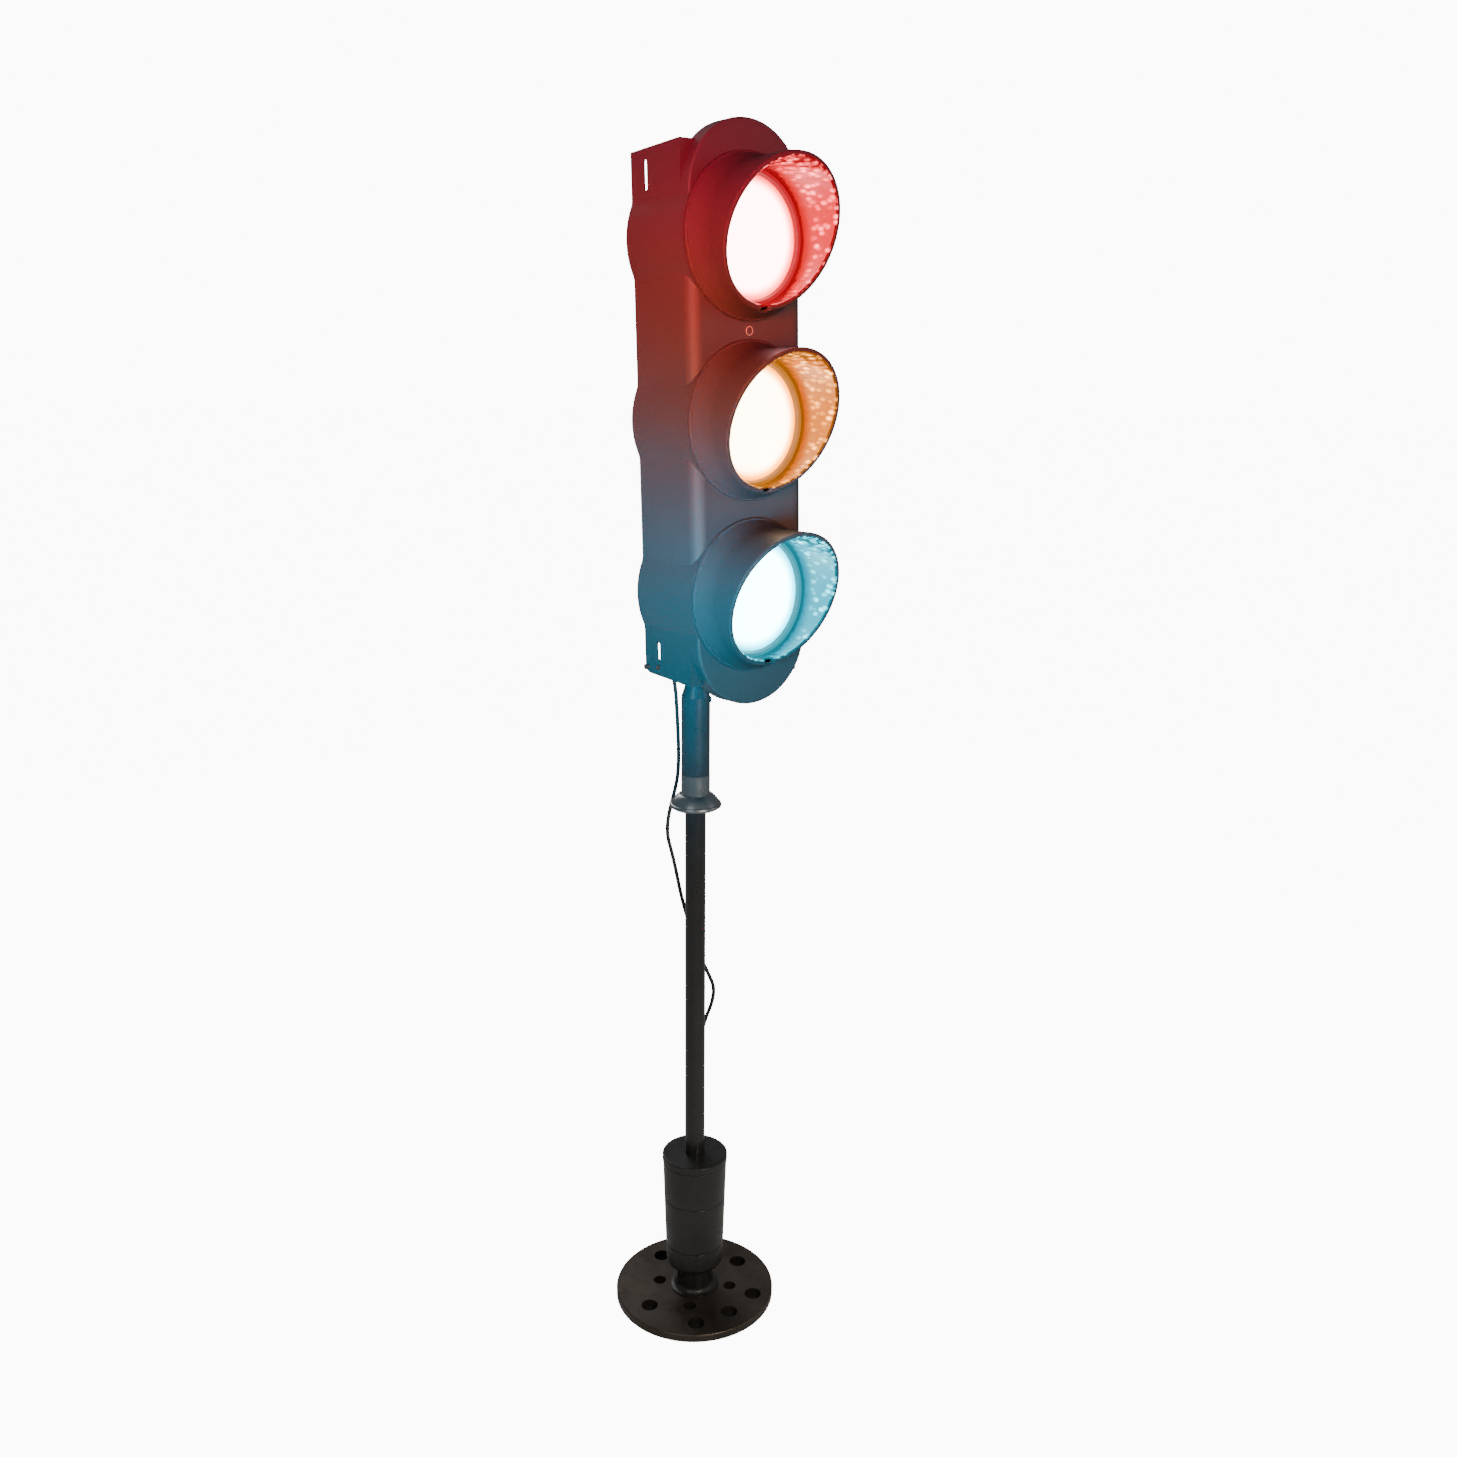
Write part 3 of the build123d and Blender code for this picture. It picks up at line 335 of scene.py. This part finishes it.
def hood_material(name, lens, deep, bright):
    mat = surface(name, (0.023, 0.023, 0.025), (0.027, 0.027, 0.030), (0.40, 0.44), cloud=3, grain=1800,
                  bump=0.04)
    tree = mat.node_tree
    bsdf = tree.nodes["Principled BSDF"]
    bsdf.inputs["Specular IOR Level"].default_value = HOOD_SPECULAR
    place = tree.nodes["Texture Coordinate"].outputs["Object"]
    low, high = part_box(lens)
    offset = vector_step(tree, "SUBTRACT", place, (low + high) / 2)
    across = vector_step(tree, "CROSS_PRODUCT", offset.outputs["Vector"], LAMP_AXIS)
    length = vector_step(tree, "LENGTH", across.outputs["Vector"])
    inside = spread(tree, length.outputs["Value"], 1, 0, HOOD_BORE_R + 0.001, HOOD_BORE_R + 0.003)
    pebble = add(tree, "ShaderNodeTexVoronoi", Scale=HOOD_PEBBLE)
    tree.links.new(stretched(tree, place, PEBBLE_STRETCH), pebble.inputs["Vector"])
    bumper = add(tree, "ShaderNodeBump", Distance=PEBBLE_DEPTH)
    tree.links.new(pebble.outputs["Distance"], bumper.inputs["Height"])
    tree.links.new(spread(tree, inside, 0, PEBBLE_STRENGTH, 0, 1), bumper.inputs["Strength"])
    tree.links.new(bsdf.inputs["Normal"].links[0].from_socket, bumper.inputs["Normal"])
    tree.links.new(bumper.outputs["Normal"], bsdf.inputs["Normal"])
    outer_gloss = bsdf.inputs["Roughness"].links[0].from_socket
    gloss = tree.nodes.new("ShaderNodeMix")
    gloss.inputs["B"].default_value = INSIDE_ROUGHNESS
    tree.links.new(inside, gloss.inputs["Factor"])
    tree.links.new(outer_gloss, gloss.inputs["A"])
    tree.links.new(gloss.outputs["Result"], bsdf.inputs["Roughness"])
    # Painted glints, a painted reflection of the lens, start a little way in front of the lens and are
    # brightest in the middle of each pebble.
    forward = vector_step(tree, "DOT_PRODUCT", offset.outputs["Vector"], LAMP_AXIS)
    zone = spread(tree, forward.outputs["Value"], 0, 1, PAINTED_GLINT_START, PAINTED_GLINT_START + PAINTED_GLINT_FADE)
    centre = spread(tree, pebble.outputs["Distance"], 1, 0, 0.15, 0.5)
    patches = spread(tree, noise(tree, place, 45, 3.0), 0.3, 1, 0.4, 0.6)
    painted_glint = product(tree, product(tree, zone, centre), patches)
    glow = add(tree, "ShaderNodeMath")
    glow.operation = "MULTIPLY_ADD"
    glow.inputs[1].default_value = GLINT_PAINTED_GLOW
    glow.inputs[2].default_value = HOOD_PAINTED_GLOW
    tree.links.new(painted_glint, glow.inputs[0])
    # The whole inside glows weakly with painted lamp light, and brightly at the painted glints.
    tree.links.new(product(tree, inside, glow.outputs["Value"]), bsdf.inputs["Emission Strength"])
    tree.links.new(mixed(tree, painted_glint, deep, bright), bsdf.inputs["Emission Color"])
    # The inside's colour is tinted with the lamp's colour, and the metal-like sheen makes its reflections
    # take that colour: a painted reflection.
    tree.links.new(spread(tree, inside, 0, HOOD_PAINTED_SHEEN, 0, 1), bsdf.inputs["Metallic"])
    outer_colour = bsdf.inputs["Base Color"].links[0].from_socket
    painted_lamp_tint = tuple(HOOD_PAINTED_TINT * c for c in deep)
    tree.links.new(mixed(tree, inside, outer_colour, painted_lamp_tint), bsdf.inputs["Base Color"])
    return mat


# %% [markdown]
# Each lens is a moulded plastic disc lit from behind. Its middle is so bright that it reads white, and
# its own colour shows as a band near the rim, where less light reaches. The emission therefore changes
# with the distance from the lens centre, and the lens's colour follows the same ramp, so its white middle
# is painted light. A fine cell bump stands for the moulded light-spreading prisms.

# %% Lit lenses
LENSES = {
    "lens_red": ("lens_top", (1.0, 0.0, 0.02), (1.0, 0.10, 0.10), (1.0, 0.62, 0.62)),
    "lens_amber": ("lens_middle", (1.0, 0.30, 0.0), (1.0, 0.34, 0.02), (1.0, 0.80, 0.50)),
    "lens_green": ("lens_bottom", (0.0, 0.55, 0.72), (0.02, 0.66, 0.78), (0.55, 1.0, 1.0)),
}
GLOW = 15.0
GLOW_AT_RIM = 2.0
LENS_EDGE_R = 0.106
CORE_ENDS, HALO_AT, DEEP_AT = 0.78, 0.88, 0.95
DIM_STARTS, DIM_ENDS = 0.74, 0.96
PRISM_SCALE, PRISM_STRENGTH, PRISM_DEPTH = 170.0, 0.4, 0.0006
RING_TONES = ((0.012, 0.012, 0.012), (0.022, 0.021, 0.021))
RING_PAINTED_GLOW = 0.7


def lens_centre(name):
    low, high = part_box(name)
    return (low + high) / 2


def lens_material(slot, node, deep, halo, core):
    mat, tree, bsdf = new_material(slot.capitalize())
    place = tree.nodes.new("ShaderNodeTexCoord").outputs["Object"]
    away = vector_step(tree, "DISTANCE", place, lens_centre(node))
    radius = spread(tree, away.outputs["Value"], 0, 1, 0, LENS_EDGE_R)
    ramp = tree.nodes.new("ShaderNodeValToRGB")
    stops = ((0.0, core), (CORE_ENDS, core), (HALO_AT, halo), (DEEP_AT, deep))
    ramp.color_ramp.elements[0].color = (*core, 1)
    ramp.color_ramp.elements[1].position = stops[-1][0]
    ramp.color_ramp.elements[1].color = (*deep, 1)
    for position, colour in stops[1:-1]:
        ramp.color_ramp.elements.new(position).color = (*colour, 1)
    tree.links.new(radius, ramp.inputs["Fac"])
    power = spread(tree, radius, GLOW, GLOW_AT_RIM, DIM_STARTS, DIM_ENDS)
    cells = add(tree, "ShaderNodeTexVoronoi", Scale=PRISM_SCALE)
    tree.links.new(place, cells.inputs["Vector"])
    bumper = add(tree, "ShaderNodeBump", Strength=PRISM_STRENGTH, Distance=PRISM_DEPTH)
    tree.links.new(cells.outputs["Distance"], bumper.inputs["Height"])
    tree.links.new(bumper.outputs["Normal"], bsdf.inputs["Normal"])
    # The lens's colour takes the glow's ramp: its white middle is painted light.
    tree.links.new(ramp.outputs["Color"], bsdf.inputs["Base Color"])
    tree.links.new(ramp.outputs["Color"], bsdf.inputs["Emission Color"])
    tree.links.new(power, bsdf.inputs["Emission Strength"])
    tree.links.new(spread(tree, noise(tree, place, 30), 0.12, 0.25), bsdf.inputs["Roughness"])
    return mat


for slot_name, (node, deep, halo, core) in LENSES.items():
    FINISHES[slot_name] = lens_material(slot_name, node, deep, halo, core)

CORE_SHARE = 0.25


def painted_glint_colour(halo, core):
    """The colour of a painted glint on the hood: mostly the lens's halo, with a little of its middle."""
    return tuple(a + (b - a) * CORE_SHARE for a, b in zip(halo, core))


slot_of = {s["node"]: s["material_slot"] for s in frame["record"]["subparts"]}
for name, obj in nodes.items():
    for s in obj.material_slots:
        s.material = FINISHES[slot_of[name]]
for node, deep, halo, core in LENSES.values():
    place_name = node.removeprefix("lens_")
    hood = hood_material("Hood_" + place_name, node, deep, painted_glint_colour(halo, core))
    for s in nodes["visor_" + place_name].material_slots:
        s.material = hood
    # Each lens's ring gets a painted glow in the lens's colour, standing in for the lens light that falls on
    # it.
    seal = surface("Lit_ring_" + place_name, *RING_TONES, (0.35, 0.5), grain=700)
    ring_shader = seal.node_tree.nodes["Principled BSDF"]
    ring_shader.inputs["Emission Color"].default_value = (*deep, 1)
    ring_shader.inputs["Emission Strength"].default_value = RING_PAINTED_GLOW
    for s in nodes["lens_ring_" + place_name].material_slots:
        s.material = seal
for s in nodes["mast_screws"].material_slots:
    s.material = FINISHES["mast_paint"]
cable.data.materials.append(FINISHES["cable_sheath"])
print("slots filled", len(slot_of))

# %% [markdown]
# Inside, the mains cable comes through its gland to the terminal block, and a pair of thin leads runs
# from there to each lamp. A fitter keeps them flat against the tray, clear of the reflectors, so that the
# shell can close over them. They are smooth curves, laid side by side and never through one another.

# %% Internal wiring
FACE_ORIGIN = Vector((0, -151.5, 1815.6))
TERMINAL_X, TERMINAL_TOP, TERMINAL_BOTTOM = -97.0, -134.0, -150.0
TERMINAL_PITCH = 7.0
LEAD_D, LEAD_PITCH = 2.2, 3.2
LEAD_RUN_X, LEAD_Y = -98.0, 99.5
LAMP_BASE_R = 65.0
LAMP_PITCH = 297.0
INNER_CABLE_D = 6.0
LEAD_COLOURS = {
    "brown": surface("Lead_brown", (0.10, 0.035, 0.015), (0.14, 0.05, 0.02), (0.35, 0.5), grain=1500),
    "blue": surface("Lead_blue", (0.02, 0.05, 0.16), (0.03, 0.07, 0.21), (0.35, 0.5), grain=1500),
}


def in_row_frame(points):
    """Points given in the leaning head's own frame, in millimetres, turned into the row frame."""
    upright = Matrix.Rotation(-LEAN, 3, "X")
    return [tuple(FACE_ORIGIN + upright @ Vector(p)) for p in points]


def wire(name, points, diameter, finish):
    obj = spline_curve(name, in_row_frame(points), diameter)
    obj.data.materials.append(finish)
    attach(obj, "head")
    return obj


wires = []
LEAD_ENDS = (
    ("top", LAMP_PITCH, TERMINAL_TOP, 0),
    ("middle", 0.0, TERMINAL_TOP, 2),
    ("bottom", -LAMP_PITCH, TERMINAL_BOTTOM, 2),
)
for place_name, lamp_z, edge, first in LEAD_ENDS:
    away = 1 if lamp_z > edge else -1
    for i, colour in enumerate(LEAD_COLOURS):
        column = first + i
        start_x = TERMINAL_X + TERMINAL_PITCH * column
        run_x = LEAD_RUN_X + LEAD_PITCH * column
        end_z = lamp_z + LEAD_PITCH * (0.5 - i) * away
        wires.append(wire(f"lead_{place_name}_{colour}", [
            (start_x, LEAD_Y - 2, edge), (start_x, LEAD_Y - 1, edge + 12 * away),
            (run_x, LEAD_Y, edge + 32 * away), (run_x, LEAD_Y, edge + 55 * away),
            (run_x, LEAD_Y, end_z - 22 * away), (run_x + 1, LEAD_Y, end_z - 4 * away),
            (run_x + 12, LEAD_Y, end_z), (-LAMP_BASE_R, LEAD_Y - 2, end_z),
        ], LEAD_D, LEAD_COLOURS[colour]))
wires.append(wire("inner_cable", [
    (-40, 97.5, -424), (-41, 90, -423), (-52, 87, -412), (-70, 92, -388), (-84, 97, -352), (-85, 98, -290),
    (-84, 98, -230), (-97, 98, -190), (-97, 97.5, -168), (-97, 97, -151),
], INNER_CABLE_D, FINISHES["cable_sheath"]))
print("wires", len(wires))

# %% [markdown]
# A small ring is moulded on the face between the upper two lamps. It is coloured paler than the plastic
# round it, a painted highlight on its crest. It is turned as a torus: a small circle spun once about the
# ring's own axis.

# %% Moulded ring mark
FACE_POINT = FACE_ORIGIN * MM
MARK_Z, MARK_R, MARK_TUBE = 0.148, 0.007, 0.0008
mark_mesh = bpy.data.meshes.new("face_ring_mark")
bm = bmesh.new()
ring = bmesh.ops.create_circle(bm, segments=12, radius=MARK_TUBE, matrix=Matrix.Translation((MARK_R, 0, 0)))
bmesh.ops.spin(bm, geom=bm.verts[:] + bm.edges[:], cent=(0, 0, 0), axis=(0, 1, 0), angle=2 * math.pi,
               steps=48, use_merge=True)
bmesh.ops.remove_doubles(bm, verts=bm.verts, dist=1e-6)
bmesh.ops.recalc_face_normals(bm, faces=bm.faces)
upright = Matrix.Rotation(-LEAN, 4, "X")
up = upright @ Vector((0, 0, MARK_Z))
bmesh.ops.transform(bm, matrix=Matrix.Translation(FACE_POINT + up) @ upright, verts=bm.verts)
for face in bm.faces:
    face.smooth = True
bm.to_mesh(mark_mesh)
bm.free()
mark = bpy.data.objects.new("face_ring_mark", mark_mesh)
bpy.context.scene.collection.objects.link(mark)
# The whole ring is coloured paler than the housing: a painted highlight.
mark_mesh.materials.append(surface("Painted_highlight_mark", (0.20, 0.19, 0.19), (0.27, 0.26, 0.26), (0.3, 0.4),
                                   cloud=60, grain=1500, bump=0.05))
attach(mark, "shell")
print("ring mark faces", len(mark_mesh.polygons))

# %% [markdown]
# The floor and the surroundings are plain and pale. A large soft lamp in front gives the long highlights
# on the hoods and the pole, a weaker one fills the far side, one shines from behind and a warm one lights
# the foot. Three coloured lamps stand for the light that the lenses spill over the dark housing. They are
# left out of reflections, because their own shapes would show as stripes on the rounded edges.

# %% Floor, surroundings and lights
FLOOR_R = 40.0
FLOOR_SEEN = 10.8
PAINTED_SHADOW_R = 0.160
PAINTED_SHADOW_Z = 0.0003
WORLD_LIGHT = 0.16
WORLD_SEEN = 11.0


def disc(name, radius, height, finish):
    mesh = bpy.data.meshes.new(name)
    bm = bmesh.new()
    bmesh.ops.create_circle(bm, cap_ends=True, segments=96, radius=radius)
    bmesh.ops.translate(bm, verts=bm.verts, vec=(0, 0, height))
    bm.to_mesh(mesh)
    bm.free()
    obj = bpy.data.objects.new(name, mesh)
    bpy.context.scene.collection.objects.link(obj)
    mesh.materials.append(finish)


floor_paint = surface("Floor", (0.86, 0.86, 0.86), (0.90, 0.90, 0.90), (0.8, 0.9), cloud=0.7, grain=60,
                      bump=0.02)
floor_shader = floor_paint.node_tree.nodes["Principled BSDF"]
floor_shader.inputs["Emission Color"].default_value = (1, 1, 1, 1)
tree = floor_paint.node_tree
direct = tree.nodes.new("ShaderNodeLightPath").outputs["Is Camera Ray"]
tree.links.new(spread(tree, direct, 0, FLOOR_SEEN, 0, 1), floor_shader.inputs["Emission Strength"])
floor_shader.inputs["Specular IOR Level"].default_value = 0.1
disc("Floor", FLOOR_R, 0, floor_paint)

# The foot shades the floor under it, so its holes look dark. A dark disc under the plate is a painted shadow
# that does the same.
disc("Painted_floor_shadow", PAINTED_SHADOW_R, PAINTED_SHADOW_Z,
     surface("Painted_floor_shadow", (0.008, 0.008, 0.008), (0.014, 0.014, 0.014), (0.8, 0.9)))

world = bpy.data.worlds.new("Surroundings")
world.use_nodes = True
sky = world.node_tree
background = sky.nodes["Background"]
background.inputs["Color"].default_value = (1.0, 1.0, 1.0, 1)
seen = sky.nodes.new("ShaderNodeLightPath").outputs["Is Camera Ray"]
sky.links.new(spread(sky, seen, WORLD_LIGHT, WORLD_SEEN, 0, 1), background.inputs["Strength"])
bpy.context.scene.world = world

# The coloured lamps light only the object, so that the floor stays plain.
lit = bpy.data.collections.new("Lit_by_spill")
for obj in list(nodes.values()) + [cable, mark]:
    lit.objects.link(obj)


def lamp(name, place, target, size, power, colour=(1, 1, 1)):
    data = bpy.data.lights.new(name, "AREA")
    data.shape = "RECTANGLE"
    data.size, data.size_y = size
    data.energy = power
    data.color = colour
    obj = bpy.data.objects.new(name, data)
    obj.location = place
    obj.rotation_euler = (Vector(target) - Vector(place)).to_track_quat("-Z", "Y").to_euler()
    bpy.context.scene.collection.objects.link(obj)
    return obj


AIM = (0, 0, 1.4)
lamp("Key", (-3.2, -1.6, 3.2), AIM, (1.6, 2.2), 22)
lamp("Fill", (2.6, -2.4, 2.0), AIM, (1.2, 2.4), 8)
lamp("Rim", (0.6, 3.2, 2.8), AIM, (1.4, 2.0), 30)
lamp("Foot", (-0.2, -1.5, 1.3), (0, 0, 0.15), (0.5, 0.2), 9, (1, 0.86, 0.72))
SPILL_SPREAD = math.radians(48)
SPILL_X, SPILL_Y, SPILL_AIM = -0.85, -0.75, -0.05
SPILL_SIZE = (0.7, 0.26)
SPILLS = (
    ("Red", 2.18, (1, 0.0, 0.05), 13),
    ("Amber", 1.84, (1, 0.16, 0.0), 7.5),
    ("Teal", 1.50, (0.0, 0.38, 0.56), 19),
)
for name, z, colour, power in SPILLS:
    spill = lamp("Spill_" + name, (SPILL_X, SPILL_Y, z), (SPILL_AIM, SPILL_AIM, z), SPILL_SIZE, power, colour)
    spill.data.spread = SPILL_SPREAD
    spill.visible_glossy = False
    spill.light_linking.receiver_collection = lit
print("lights set")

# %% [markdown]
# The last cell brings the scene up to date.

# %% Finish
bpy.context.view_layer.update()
